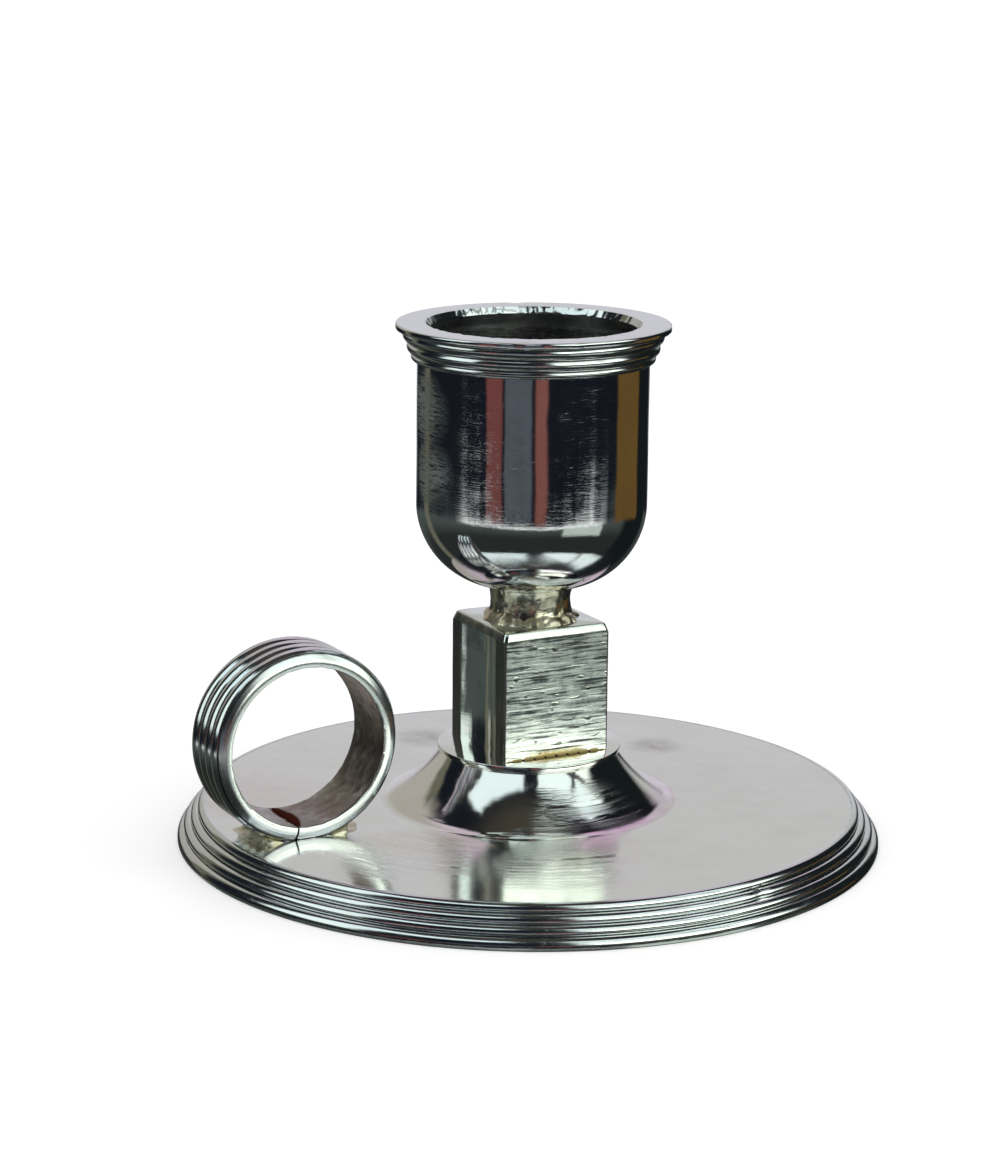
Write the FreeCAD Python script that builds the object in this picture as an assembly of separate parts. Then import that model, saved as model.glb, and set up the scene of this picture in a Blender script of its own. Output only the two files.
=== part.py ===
"""Silver chamberstick with a finger loop.

A round dish with a reeded border carries a flared boss, a square pillar with
coved sides, a short neck and a candle socket with a reeded rim. A reeded strip
bent to a ring stands on the dish as the finger loop. All lengths are in
millimetres. The origin is the centre of the underside, +Z is up, the finger
loop is towards -X and the flat faces of the pillar look along Y.
"""
import FreeCAD
import Part
import math
import os

# Dish
dish_thickness = 0.9
dish_top_z = 4.05
dish_opening_radius = 13.4

# Reeded border of the dish, its widths measured inwards from its outer edge
border_outer_radius = 38.0
border_width = 4.0
border_reeding_width = 3.1
border_side_height = 0.45
border_bead_radius = 0.8
border_lip_height = 0.1
border_reed_count = 3
border_reed_rise = 0.42

# Flared boss and the round plate on it
boss_height = 6.15
boss_top_radius = 9.4
boss_slope_radius = 15.1
boss_foot_blend = 3.2
boss_wall = 1.1
boss_plate_overhang = 0.5
boss_plate_thickness = 0.55

# Square pillar with a cove down its left and right sides
pillar_width = 12.5
pillar_depth = 12.5
pillar_height = 13.05
pillar_corner_round = 0.2
cove_width = 8.2
cove_depth = 1.0
cap_thickness = 0.95
cap_edge_round = 0.28
pillar_solder_leg = 0.35

# Neck between the pillar and the socket
neck_foot_radius = 4.75
neck_waist_radius = 4.3
neck_top_radius = 4.65
neck_height = 3.65
neck_solder_spread = 0.95
neck_solder_height = 1.0

# Candle socket, with an even wall down to its thicker bottom
bore_radius = 11.0
socket_wall = 1.3
socket_height = 27.45
socket_bottom_round = 8.9
socket_bottom_thickness = 2.0

# Reeded rim round the mouth of the socket
rim_flange_radius = 14.55
rim_flange_thickness = 0.7
rim_reeding_width = 1.3
rim_reed_rise = 0.4
rim_lower_reed_height = 0.75
rim_middle_reed_height = 1.2
rim_upper_reed_height = 1.3

# Finger loop, a reeded strip bent round a finger
loop_bore_radius = 8.5
loop_wall = 1.9
loop_band_width = 7.5
loop_reed_count = 4
loop_reed_rise = 0.4
loop_bevel_width = 0.4
loop_flat_height = 0.65
loop_seat_depth = 0.45
loop_seam_gap = 0.2
loop_solder_spread = 1.9
loop_solder_height = 0.95
loop_solder_inset = 0.25

# A round of a turned outline is drawn as this many even straight runs
reed_band_count = 3
bead_band_count = 2
boss_foot_band_count = 3
neck_waist_band_count = 3
socket_outer_band_count = 4
socket_inner_band_count = 2

# Solder fillets are this share of the hollow that would meet the flat tangent
solder_hollow_share = 0.8

# One overrun serves every cut
overrun = 1.0

# Radii of the dish, its border and the boss plate
dish_seat_radius = border_outer_radius - border_reeding_width
border_inner_radius = border_outer_radius - border_width
boss_plate_radius = boss_top_radius + boss_plate_overhang

# Levels up the stem
boss_top_z = dish_top_z + boss_height
pillar_cap_z = boss_top_z + pillar_height
pillar_top_z = pillar_cap_z + cap_thickness
socket_bottom_z = pillar_top_z + neck_height
socket_top_z = socket_bottom_z + socket_height
rim_top_z = socket_top_z + rim_flange_thickness
socket_radius = bore_radius + socket_wall

# The loop stands flush with the outer edge of the border, sunk by its filed seat
loop_outer_radius = loop_bore_radius + loop_wall
loop_centre_distance = border_outer_radius - loop_outer_radius
loop_drop = loop_outer_radius - loop_seat_depth

UP = FreeCAD.Vector(0, 0, 1)
ALONG_X = FreeCAD.Vector(1, 0, 0)
ALONG_Y = FreeCAD.Vector(0, 1, 0)
ORIGIN = FreeCAD.Vector(0, 0, 0)


def arc_points(start, end, rise, count):
    """Even points along an arc between two points, rising to the right of travel."""
    half_u = (end[0] - start[0]) / 2
    half_v = (end[1] - start[1]) / 2
    half_run = math.hypot(half_u, half_v)
    half_angle = 2 * math.atan(rise / half_run)
    radius = half_run / math.sin(half_angle)
    points = []
    for step in range(1, count):
        angle = half_angle * (2 * step / count - 1)
        along = 1 + radius * math.sin(angle) / half_run
        aside = (rise - radius * (1 - math.cos(angle))) / half_run
        u = start[0] + along * half_u + aside * half_v
        v = start[1] + along * half_v - aside * half_u
        points.append((u, v))
    return points + [end]


def arc_rise(radius, angle):
    """How far an arc of that radius and angle rises over its chord."""
    return radius * (1 - math.cos(angle / 2))


def solder_rise(start, end):
    """Rise of a fillet that starts almost along the flat and climbs, as solder does."""
    run_u = end[0] - start[0]
    run_v = end[1] - start[1]
    slope = math.atan2(run_v, abs(run_u))
    rise = solder_hollow_share * math.hypot(run_u, run_v) * math.tan(slope / 2) / 2
    return math.copysign(rise, run_u)


class Section:
    """A closed outline drawn point by point in a plane."""

    def __init__(self, start, place):
        self.place = place
        self.start = start
        self.last = start
        self.edges = []

    def line(self, end):
        if math.hypot(end[0] - self.last[0], end[1] - self.last[1]) > 0:
            self.edges.append(Part.LineSegment(self.place(self.last), self.place(end)).toShape())
        self.last = end

    def arc(self, end, rise):
        """A true arc that rises to the right of travel."""
        middle = arc_points(self.last, end, rise, 2)[0]
        points = (self.place(self.last), self.place(middle), self.place(end))
        self.edges.append(Part.Arc(*points).toShape())
        self.last = end

    def bands(self, end, rise, count):
        """The same arc as even straight runs, each a conical band when turned."""
        for point in arc_points(self.last, end, rise, count):
            self.line(point)

    def face(self):
        self.line(self.start)
        return Part.Face(Part.Wire(self.edges))


def upright(point):
    """A section point (radius, height) in the XZ plane."""
    return FreeCAD.Vector(point[0], 0, point[1])


def flat(point):
    """A section point (x, y) in the XY plane."""
    return FreeCAD.Vector(point[0], point[1], 0)


def across(point):
    """A section point (y, height) in the YZ plane."""
    return FreeCAD.Vector(0, point[0], point[1])


def turned(section):
    """The solid of a section turned round the Z axis."""
    return section.face().revolve(ORIGIN, UP, 360)


def moved(shape, x, y, z):
    shape.translate(FreeCAD.Vector(x, y, z))
    return shape


def centred_box(width, depth, height, bottom_z):
    return moved(Part.makeBox(width, depth, height), -width / 2, -depth / 2, bottom_z)


def make_dish():
    """Flat sheet with an opening under the boss, let into the border."""
    sheet = Part.makeCylinder(dish_seat_radius, dish_thickness)
    opening = Part.makeCylinder(dish_opening_radius, dish_thickness + 2 * overrun)
    sheet = sheet.cut(moved(opening, 0, 0, -overrun))
    return moved(sheet, 0, 0, dish_top_z - dish_thickness)


def make_base_border():
    """Reeded wire with a step inside for the dish, reeds falling outwards."""
    ledge_z = dish_top_z - dish_thickness
    lip_z = dish_top_z + border_lip_height
    crease_radius = border_outer_radius - border_bead_radius
    crease_z = border_side_height + border_bead_radius
    section = Section((border_inner_radius, 0), upright)
    section.line((border_outer_radius, 0))
    section.line((border_outer_radius, border_side_height))
    section.bands((crease_radius, crease_z), arc_rise(border_bead_radius, math.pi / 2), bead_band_count)
    for step in range(1, border_reed_count + 1):
        share = step / border_reed_count
        radius = crease_radius + (dish_seat_radius - crease_radius) * share
        height = crease_z + (lip_z - crease_z) * share
        section.bands((radius, height), border_reed_rise, reed_band_count)
    section.line((dish_seat_radius, ledge_z))
    section.line((border_inner_radius, ledge_z))
    return turned(section)


def make_boss():
    """Hollow flared shell with a concave foot, open below over the dish."""
    top_z = boss_top_z - boss_plate_thickness
    slope = math.atan2(boss_height, boss_slope_radius - boss_top_radius)
    reach = boss_foot_blend * math.tan(slope / 2)
    foot_radius = boss_slope_radius + reach
    blend_top = (boss_slope_radius - reach * math.cos(slope), dish_top_z + reach * math.sin(slope))
    section = Section((dish_opening_radius, dish_top_z), upright)
    section.line((foot_radius, dish_top_z))
    section.bands(blend_top, -arc_rise(boss_foot_blend, slope), boss_foot_band_count)
    section.line((boss_top_radius, top_z))
    section.line((boss_top_radius - boss_wall, top_z))
    return turned(section)


def make_boss_plate():
    """Round plate with a crisp edge that closes the boss."""
    plate = Part.makeCylinder(boss_plate_radius, boss_plate_thickness)
    return moved(plate, 0, 0, boss_top_z - boss_plate_thickness)


def pillar_outline():
    """Outline seen from above: flat front and back, a cove in each side."""
    half_width = pillar_width / 2
    half_depth = pillar_depth / 2
    half_cove = cove_width / 2
    section = Section((-half_width, -half_depth), flat)
    section.line((half_width, -half_depth))
    section.line((half_width, -half_cove))
    section.arc((half_width, half_cove), -cove_depth)
    section.line((half_width, half_depth))
    section.line((-half_width, half_depth))
    section.line((-half_width, half_cove))
    section.arc((-half_width, -half_cove), -cove_depth)
    return section


def make_pillar_block():
    """Solid square block with its coves and slightly softened corners."""
    block = pillar_outline().face().extrude(UP * pillar_height)
    upright_edges = [edge for edge in block.Edges if edge.BoundBox.ZLength > pillar_height / 2]
    clear_of_cove = (cove_width + pillar_depth) / 4
    corners = [edge for edge in upright_edges if abs(edge.BoundBox.YMin) > clear_of_cove]
    block = block.makeFillet(pillar_corner_round, corners)
    return moved(block, 0, 0, boss_top_z)


def make_pillar_cap():
    """Square plate on the block, its top edges worn round."""
    plate = centred_box(pillar_width, pillar_depth, cap_thickness, pillar_cap_z)
    top_edges = [edge for edge in plate.Edges if edge.BoundBox.ZMin > pillar_top_z - cap_thickness / 2]
    return plate.makeFillet(cap_edge_round, top_edges)


def make_pillar_solder():
    """Solder run along the foot of the block, in front and behind."""
    half_run = pillar_width / 2 - pillar_corner_round
    foot_y = pillar_depth / 2
    runs = []
    for side in (-1, 1):
        toe = (side * (foot_y + pillar_solder_leg), 0)
        head = (side * foot_y, pillar_solder_leg)
        section = Section((side * foot_y, 0), across)
        section.line(toe)
        section.arc(head, solder_rise(toe, head))
        run = section.face().extrude(ALONG_X * (2 * half_run))
        runs.append(moved(run, -half_run, 0, boss_top_z))
    return Part.makeCompound(runs)


def make_socket_cup():
    """Straight cup with a rounded bottom, bored for the candle."""
    flat_radius = socket_radius - socket_bottom_round
    inner_round = bore_radius - flat_radius
    floor_z = socket_bottom_z + socket_bottom_thickness
    outer_rise = arc_rise(socket_bottom_round, math.pi / 2)
    inner_rise = arc_rise(inner_round, math.pi / 2)
    section = Section((0, socket_bottom_z), upright)
    section.line((flat_radius, socket_bottom_z))
    section.bands((socket_radius, socket_bottom_z + socket_bottom_round), outer_rise, socket_outer_band_count)
    section.line((socket_radius, socket_top_z))
    section.line((bore_radius, socket_top_z))
    section.line((bore_radius, floor_z + inner_round))
    section.bands((flat_radius, floor_z), -inner_rise, socket_inner_band_count)
    section.line((0, floor_z))
    return turned(section)


def make_socket_rim():
    """Flange on the mouth of the cup with three reeds stepping in below it."""
    reed_heights = (rim_lower_reed_height, rim_middle_reed_height, rim_upper_reed_height)
    level = socket_top_z - sum(reed_heights)
    section = Section((bore_radius, rim_top_z), upright)
    section.line((bore_radius, socket_top_z))
    section.line((socket_radius, socket_top_z))
    section.line((socket_radius, level))
    for step, height in enumerate(reed_heights, 1):
        level = level + height
        crease_radius = socket_radius + rim_reeding_width * step / len(reed_heights)
        section.bands((crease_radius, level), rim_reed_rise, reed_band_count)
    section.line((rim_flange_radius, socket_top_z))
    section.line((rim_flange_radius, rim_top_z))
    return turned(section)


def make_neck(cup):
    """Short collar with a drawn-in waist, fitted to the bottom of the cup."""
    top_z = socket_bottom_z + socket_bottom_thickness / 2
    waist_rise = (neck_foot_radius + neck_top_radius) / 2 - neck_waist_radius
    section = Section((0, pillar_top_z), upright)
    section.line((neck_foot_radius, pillar_top_z))
    section.bands((neck_top_radius, socket_bottom_z), -waist_rise, neck_waist_band_count)
    section.line((neck_top_radius, top_z))
    section.line((0, top_z))
    return turned(section).cut(cup)


def make_neck_solder(neck):
    """Ring of solder round the foot of the neck."""
    toe = (neck_foot_radius + neck_solder_spread, pillar_top_z)
    head = (neck_waist_radius, pillar_top_z + neck_solder_height)
    section = Section((neck_waist_radius, pillar_top_z), upright)
    section.line(toe)
    section.line(head)
    return turned(section).cut(neck)


def loop_section():
    """Outline of the strip across its width, reeds outside and bevelled edges."""
    half_band = loop_band_width / 2
    crease_radius = loop_outer_radius - loop_reed_rise
    first_crease = half_band - loop_bevel_width
    flat_radius = loop_bore_radius + loop_flat_height
    section = Section((loop_bore_radius, -half_band), flat)
    section.line((flat_radius, -half_band))
    section.line((crease_radius, -first_crease))
    for step in range(1, loop_reed_count + 1):
        crease_y = -first_crease + 2 * first_crease * step / loop_reed_count
        section.bands((crease_radius, crease_y), loop_reed_rise, reed_band_count)
    section.line((flat_radius, half_band))
    section.line((loop_bore_radius, half_band))
    return section


def make_finger_loop():
    """Strip bent to a ring, its ends butted below and its foot filed flat."""
    ring = loop_section().face().revolve(ORIGIN, ALONG_Y, 360)
    ring = moved(ring, -loop_centre_distance, 0, dish_top_z + loop_drop)
    file_depth = loop_band_width + 2 * overrun
    filed = centred_box(2 * loop_outer_radius, file_depth, loop_outer_radius, dish_top_z - loop_outer_radius)
    ring = ring.cut(moved(filed, -loop_centre_distance, 0, 0))
    seam = centred_box(loop_seam_gap, file_depth, loop_drop, dish_top_z)
    return ring.cut(moved(seam, -loop_centre_distance, 0, 0))


def loop_reach(height):
    """How far the outside of the loop lies from its middle at a height over the dish."""
    return math.sqrt(loop_outer_radius ** 2 - (loop_drop - height) ** 2)


def make_loop_solder(boss):
    """Solder drawn up on both sides of the filed foot of the loop."""
    depth = loop_band_width - 2 * loop_solder_inset
    foot = loop_reach(0)
    head = loop_reach(loop_solder_height)
    run_angle = 2 * math.asin(math.hypot(head - foot, loop_solder_height) / 2 / loop_outer_radius)
    fills = []
    for side in (-1, 1):
        toe_point = (side * (head + loop_solder_spread), 0)
        head_point = (side * head, loop_solder_height)
        section = Section((side * foot, 0), upright)
        section.line(toe_point)
        section.arc(head_point, solder_rise(toe_point, head_point))
        section.arc(section.start, -side * arc_rise(loop_outer_radius, run_angle))
        fill = section.face().extrude(ALONG_Y * depth)
        fills.append(moved(fill, -loop_centre_distance, -depth / 2, dish_top_z).cut(boss))
    return Part.makeCompound(fills)


def build():
    boss = make_boss()
    cup = make_socket_cup()
    neck = make_neck(cup)
    return {
        "dish": make_dish(),
        "base_border": make_base_border(),
        "boss": boss,
        "boss_plate": make_boss_plate(),
        "pillar_block": make_pillar_block(),
        "pillar_cap": make_pillar_cap(),
        "pillar_solder": make_pillar_solder(),
        "neck": neck,
        "neck_solder": make_neck_solder(neck),
        "socket_cup": cup,
        "socket_rim": make_socket_rim(),
        "finger_loop": make_finger_loop(),
        "loop_solder": make_loop_solder(boss),
    }


os.makedirs("parts", exist_ok=True)
for name, shape in build().items():
    print(name, "valid", shape.isValid(), "solids", len(shape.Solids), "volume", round(shape.Volume, 2))
    shape.exportStep("parts/" + name + ".step")
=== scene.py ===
"""The silver chamberstick in a plain studio, dressed over its CAD frame.

Every length is in metres. The turned pieces are made again as true rounds, so
that the polish reflects cleanly, and the filed, soldered and worn places get
their real surface. The finger loop is towards -X, and the frame's own mesh
stays for the dish alone.
"""
import bpy
import math
from mathutils import Matrix, Vector, noise


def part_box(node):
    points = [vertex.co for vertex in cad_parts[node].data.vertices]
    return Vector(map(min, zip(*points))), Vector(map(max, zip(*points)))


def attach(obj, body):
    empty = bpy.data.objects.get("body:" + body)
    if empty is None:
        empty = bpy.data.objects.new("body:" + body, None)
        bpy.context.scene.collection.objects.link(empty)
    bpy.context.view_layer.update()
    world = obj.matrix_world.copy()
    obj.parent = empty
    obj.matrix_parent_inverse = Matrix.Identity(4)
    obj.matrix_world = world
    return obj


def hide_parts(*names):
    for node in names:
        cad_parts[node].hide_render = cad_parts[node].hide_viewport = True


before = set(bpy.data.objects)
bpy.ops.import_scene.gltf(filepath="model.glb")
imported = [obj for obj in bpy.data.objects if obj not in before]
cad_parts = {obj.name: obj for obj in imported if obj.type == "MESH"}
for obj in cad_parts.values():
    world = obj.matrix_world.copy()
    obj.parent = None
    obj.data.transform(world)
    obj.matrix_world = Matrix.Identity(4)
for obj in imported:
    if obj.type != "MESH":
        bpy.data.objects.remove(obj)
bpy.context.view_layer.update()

MM = 0.001

# Camera at the photograph's angle: its place beside the object, then how the object stands turned before it
camera_place = Vector((-0.00328, -0.32356, 0.10524))
camera_down = math.radians(13.477)
camera_roll = math.radians(0.569)
object_turn = math.radians(27.38)
image_height = 1168
focal_pixels = 3107.6
sensor_height = 36.0

# Driving dimensions that the frame's boxes don't give
border_seat_share = 0.29
border_foot_corner = 0.1 * MM
border_side_height = 0.45 * MM
border_bead_radius = 0.8 * MM
border_reed_rise = 0.45 * MM
border_reed_count = 3
boss_opening_radius = 13.4 * MM
boss_top_radius = 9.4 * MM
boss_slope_radius = 15.1 * MM
boss_foot_blend = 2.6 * MM
boss_hollow_rise = 0.34 * MM
boss_wall = 1.1 * MM
plate_edge_round = 0.1 * MM
block_corner = 0.25 * MM
cove_width = 8.2 * MM
cove_depth = 1.0 * MM
cap_joint_height = 0.12 * MM
cap_corner_start = 0.45 * MM
cap_corner_round = 1.3 * MM
solder_sink = 0.1 * MM
solder_pit_pitch = 1.33 * MM
neck_foot_radius = 4.75 * MM
neck_waist_radius = 4.3 * MM
neck_top_radius = 4.65 * MM
neck_sink = 0.15 * MM
neck_solder_hollow = 0.16 * MM
bore_radius = 11.0 * MM
socket_bottom_round = 8.9 * MM
socket_bottom_thickness = 2.0 * MM
cup_clean_depth = 0.9 * MM
cup_covered_height = 3 * MM
rim_reeding_width = 1.3 * MM
rim_reed_rise = 0.4 * MM
rim_reed_heights = (0.75 * MM, 1.2 * MM, 1.3 * MM)
rim_edge_round = 0.2 * MM
rim_bevel_height = 0.52 * MM
rim_bevel_width = 0.3 * MM
loop_bore_radius = 8.5 * MM
loop_reed_count = 4
loop_reed_rise = 0.4 * MM
loop_bevel_width = 0.4 * MM
loop_flat_height = 0.65 * MM
loop_seat_depth = 0.45 * MM
loop_inner_corner = 0.1 * MM
loop_seam_gap = 0.2 * MM
loop_seam_angle = math.radians(-98)
loop_solder_sink = 0.2 * MM

# The worn edge of the cap from its side to its flat top: how far in from the side, how far below the top
cap_edge = ((0.22 * MM, 0.16 * MM), (0.27 * MM, 0.07 * MM), (0.35 * MM, 0.02 * MM), (0.48 * MM, 0.0))

# Single dents and blobs: the angle round the axis, the reach and the depth
border_dent = (math.radians(-78), 0.5 * MM, 0.22 * MM)
border_dent_heights = (2.2 * MM, 3.4 * MM)
rim_dents = (
    (math.radians(-121), 1.1 * MM, 0.2 * MM),
    (math.radians(-100), 0.5 * MM, 0.1 * MM),
    (math.radians(-30), 0.6 * MM, 0.1 * MM),
    (math.radians(70), 0.7 * MM, 0.12 * MM),
)
rim_dent_band = 0.3 * MM
solder_blob_angle = math.radians(-156)
solder_blob_reach = 1.3 * MM

# Uneven surfaces: how far they move in or out at most, and the size of their lumps
border_wave = (0.03 * MM, 6 * MM)
cap_hollows = (0.035 * MM, 0.9 * MM)
neck_hollows = (0.12 * MM, 1.0 * MM)
neck_pits = (0.05 * MM, 0.4 * MM)
cup_wave = (0.035 * MM, 9 * MM)
cup_ripple = (0.008 * MM, 2.5 * MM)
loop_wave = (0.025 * MM, 4 * MM)
loop_inner_lumps = (0.10 * MM, 0.9 * MM)
loop_solder_lumps = (0.06 * MM, 0.6 * MM)
# The ragged bevel round the mouth: how far it is worn out and down, and how wide the worn band is
rim_ragged_out = 0.22 * MM
rim_ragged_down = 0.05 * MM
rim_ragged_width = 0.4 * MM

# File strokes on the block: the length and the thickness of each kind
file_drift = (4 * MM, 3 * MM)
broad_stroke = (9 * MM, 0.8 * MM)
fine_stroke = (5 * MM, 0.22 * MM)
gouge_stroke = (4.5 * MM, 0.3 * MM)
chatter_stroke = (1.1 * MM, 0.45 * MM)
# The strokes fade out within this part of the height from each end, a thirtieth
file_fade_part = 30
# The faces are smoother and paler up to the first height, and not at all above the second
smooth_pale_heights = (1.92 * MM, 5.12 * MM)
# A stroke this deep is fully dark, and so is the margin beside a cove to this far from the block's side
full_crease_depth = 0.05 * MM
block_edge_margin = 0.5 * MM
# The golden stain at the foot: how far up, and how far to each side
foot_stain_height = 1.9 * MM
foot_stain_half = 4.4 * MM

# Fineness of the rounds, the ribbons and the filed faces
turn_steps = 288
reed_steps = 12
round_steps = 16
corner_steps = 4
blend_steps = 24
slope_steps = 36
cove_steps = 40
block_layers = 130
block_front_steps = 110
block_margin_steps = 18
cap_side_steps = 60
pillar_solder_steps = 150
loop_steps = 260
loop_solder_steps = 60

# What each vertex of a new piece tells its material, a number from 0 to 1 or a little more for each
MARKS = ("crease", "dull", "stain")
crease_falloff = 2.6


# Outlines and meshes


def arc_points(start, end, rise, count):
    """Even points along an arc between two points, rising to the right of travel."""
    half_u = (end[0] - start[0]) / 2
    half_v = (end[1] - start[1]) / 2
    half_run = math.hypot(half_u, half_v)
    half_angle = 2 * math.atan(rise / half_run)
    radius = half_run / math.sin(half_angle)
    points = []
    for step in range(1, count):
        angle = half_angle * (2 * step / count - 1)
        along = 1 + radius * math.sin(angle) / half_run
        aside = (rise - radius * (1 - math.cos(angle))) / half_run
        u = start[0] + along * half_u + aside * half_v
        v = start[1] + along * half_v - aside * half_u
        points.append((u, v))
    return points + [end]


def arc_rise(radius, angle):
    """How far an arc of that radius and angle stands over its chord."""
    return radius * (1 - math.cos(angle / 2))


def quarter_rise(radius):
    """The same for a quarter round."""
    return arc_rise(radius, math.pi / 2)


class Outline:
    """Points of a section, each with how creased, dull and stained the surface is there."""

    def __init__(self, start, dull=0.0):
        self.points = [start]
        self.marks = [(0.0, dull, 0.0)]

    def line(self, end, count=1, dull=0.0, stain=0.0, crease=0.0):
        start = self.points[-1]
        for step in range(1, count + 1):
            share = step / count
            u = start[0] + (end[0] - start[0]) * share
            v = start[1] + (end[1] - start[1]) * share
            self.points.append((u, v))
            self.marks.append((crease, dull, stain))

    def arc(self, end, rise, count=round_steps, dull=0.0, stain=0.0, crease=0.0):
        self.points += arc_points(self.points[-1], end, rise, count)
        self.marks += [(crease, dull, stain)] * count

    def reed(self, end, rise):
        """An arc with a dark crease at both of its ends."""
        self.marks[-1] = (1.0, 0.0, 0.0)
        self.points += arc_points(self.points[-1], end, rise, reed_steps)
        for step in range(1, reed_steps + 1):
            self.marks.append((abs(2 * step / reed_steps - 1) ** crease_falloff, 0.0, 0.0))


def new_piece(name, vertices, faces, marks, sharp_angle=math.radians(32)):
    """A smooth mesh object that carries its marks, three numbers a vertex."""
    mesh = bpy.data.meshes.new(name)
    mesh.from_pydata(vertices, [], faces)
    for key, numbers in zip(MARKS, zip(*marks)):
        layer = mesh.attributes.new(key, "FLOAT", "POINT")
        layer.data.foreach_set("value", numbers)
    mesh.validate()
    mesh.update()
    mesh.shade_smooth()
    mesh.set_sharp_from_angle(angle=sharp_angle)
    piece = bpy.data.objects.new(name, mesh)
    bpy.context.scene.collection.objects.link(piece)
    return piece


def lathe(name, outline, closed, wear=None):
    """Turns an outline round Z. An open outline starts and ends on the axis."""
    vertices = []
    marks = []
    rings = []
    for (radius, height), mark in zip(outline.points, outline.marks):
        count = turn_steps if radius > 0 else 1
        first = len(vertices)
        rings.append([first + step % count for step in range(turn_steps)])
        for step in range(count):
            angle = 2 * math.pi * step / turn_steps
            spot = Vector((radius * math.cos(angle), radius * math.sin(angle), height))
            vertices.append(wear(spot) if wear and radius > 0 else spot)
            marks.append(mark)
    faces = []
    pairs = list(zip(rings, rings[1:]))
    if closed:
        pairs.append((rings[-1], rings[0]))
    for low, high in pairs:
        for step in range(turn_steps):
            after = (step + 1) % turn_steps
            corners = [low[step], low[after], high[after], high[step]]
            faces.append(tuple(dict.fromkeys(corners)))
    return new_piece(name, vertices, faces, marks)


def place(piece, node, material):
    """Puts a piece in the frame for its CAD node."""
    piece.data.materials.append(material)
    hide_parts(node)
    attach(piece, "root")


def outward(spot):
    """The level direction from the axis to a point."""
    return Vector((spot.x, spot.y, 0)).normalized()


def lump(spot, size, seed):
    """Smooth noise from -1 to 1 for lumps of about that size."""
    return noise.noise(Vector(spot) / size + Vector((seed, 3 * seed, 7 * seed)))


def uneven(spot, wear, seed):
    """How far an uneven surface is moved at a point."""
    depth, size = wear
    return depth * lump(spot, size, seed)


def ramp(value, low, high):
    """0 at low and 1 at high, straight between them and level beyond."""
    return min(1.0, max(0.0, (value - low) / (high - low)))


def top_of(node):
    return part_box(node)[1].z


def reach_of(node):
    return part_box(node)[1].x


# Levels and radii from the frame

dish_top = top_of("dish")
dish_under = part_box("dish")[0].z
dish_radius = reach_of("dish")
border_radius = reach_of("base_border")
boss_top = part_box("boss_plate")[0].z
plate_top = top_of("boss_plate")
plate_radius = reach_of("boss_plate")
block_half = reach_of("pillar_block")
block_top = top_of("pillar_block")
cap_top = top_of("pillar_cap")
cup_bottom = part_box("socket_cup")[0].z
cup_top = top_of("socket_cup")
cup_radius = reach_of("socket_cup")
rim_top = top_of("socket_rim")
rim_radius = reach_of("socket_rim")
loop_low, loop_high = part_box("finger_loop")
loop_outer_radius = (loop_high.x - loop_low.x) / 2
loop_centre = Vector(((loop_low.x + loop_high.x) / 2, 0, dish_top + loop_outer_radius - loop_seat_depth))
loop_half_band = loop_high.y


# Pieces


def nick(spot, angle, reach, depth):
    """How far a small dent at that angle round the axis pushes a point in."""
    off = (math.atan2(spot.y, spot.x) - angle + math.pi) % (2 * math.pi) - math.pi
    return depth * math.exp(-((off * spot.xy.length / reach) ** 2))


def wear_border(spot):
    """A slightly wavy border with one dent."""
    low, high = border_dent_heights
    dent = nick(spot, *border_dent) * (low < spot.z < high)
    wave = min(0, uneven(spot, border_wave, 1.0))
    return spot + outward(spot) * (wave - dent)


def make_border():
    """The border with its bead below, its stepped reeds, and the seat of the dish inside."""
    inner_radius = dish_radius - (border_radius - dish_radius) * border_seat_share
    crease_radius = border_radius - border_bead_radius
    crease_height = border_side_height + border_bead_radius
    outline = Outline((inner_radius, 0))
    outline.line((border_radius - border_foot_corner, 0))
    outline.line((border_radius, border_foot_corner))
    outline.line((border_radius, border_side_height))
    outline.reed((crease_radius, crease_height), quarter_rise(border_bead_radius))
    for step in range(1, border_reed_count + 1):
        share = step / border_reed_count
        radius = crease_radius + (dish_radius - crease_radius) * share
        height = crease_height + (dish_top - crease_height) * share
        outline.reed((radius, height), border_reed_rise)
    # The last reed ends against the dish, where less dirt stays
    outline.marks[-1] = (0.25, 0.0, 0.0)
    outline.line((dish_radius, dish_under))
    outline.line((inner_radius, dish_under))
    return lathe("border_reeds", outline, True, wear_border)


def make_boss():
    """The flared shell, hollow in its slope and blended into the dish at its foot."""
    height = plate_top - dish_top
    width = boss_slope_radius - boss_top_radius
    # The hollow makes the slope leave the foot at less than the angle of its chord
    slope = math.atan2(height, width) - 4 * boss_hollow_rise / math.hypot(height, width)
    reach = boss_foot_blend * math.tan(slope / 2)
    blend_top = (boss_slope_radius - reach * math.cos(slope), dish_top + reach * math.sin(slope))
    outline = Outline((boss_opening_radius, dish_top))
    outline.line((boss_slope_radius + reach, dish_top))
    outline.arc(blend_top, -arc_rise(boss_foot_blend, slope), blend_steps)
    outline.arc((boss_top_radius, boss_top), -boss_hollow_rise, slope_steps)
    outline.line((boss_top_radius - boss_wall, boss_top))
    return lathe("boss_shell", outline, True)


def make_plate():
    """The flat round plate on the boss, its edges barely rounded."""
    quarter = quarter_rise(plate_edge_round)
    outline = Outline((0, boss_top))
    outline.line((plate_radius - plate_edge_round, boss_top))
    outline.arc((plate_radius, boss_top + plate_edge_round), quarter, corner_steps)
    outline.line((plate_radius, plate_top - plate_edge_round))
    outline.arc((plate_radius - plate_edge_round, plate_top), quarter, corner_steps)
    outline.line((0, plate_top))
    return lathe("boss_disc", outline, False)


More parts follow.
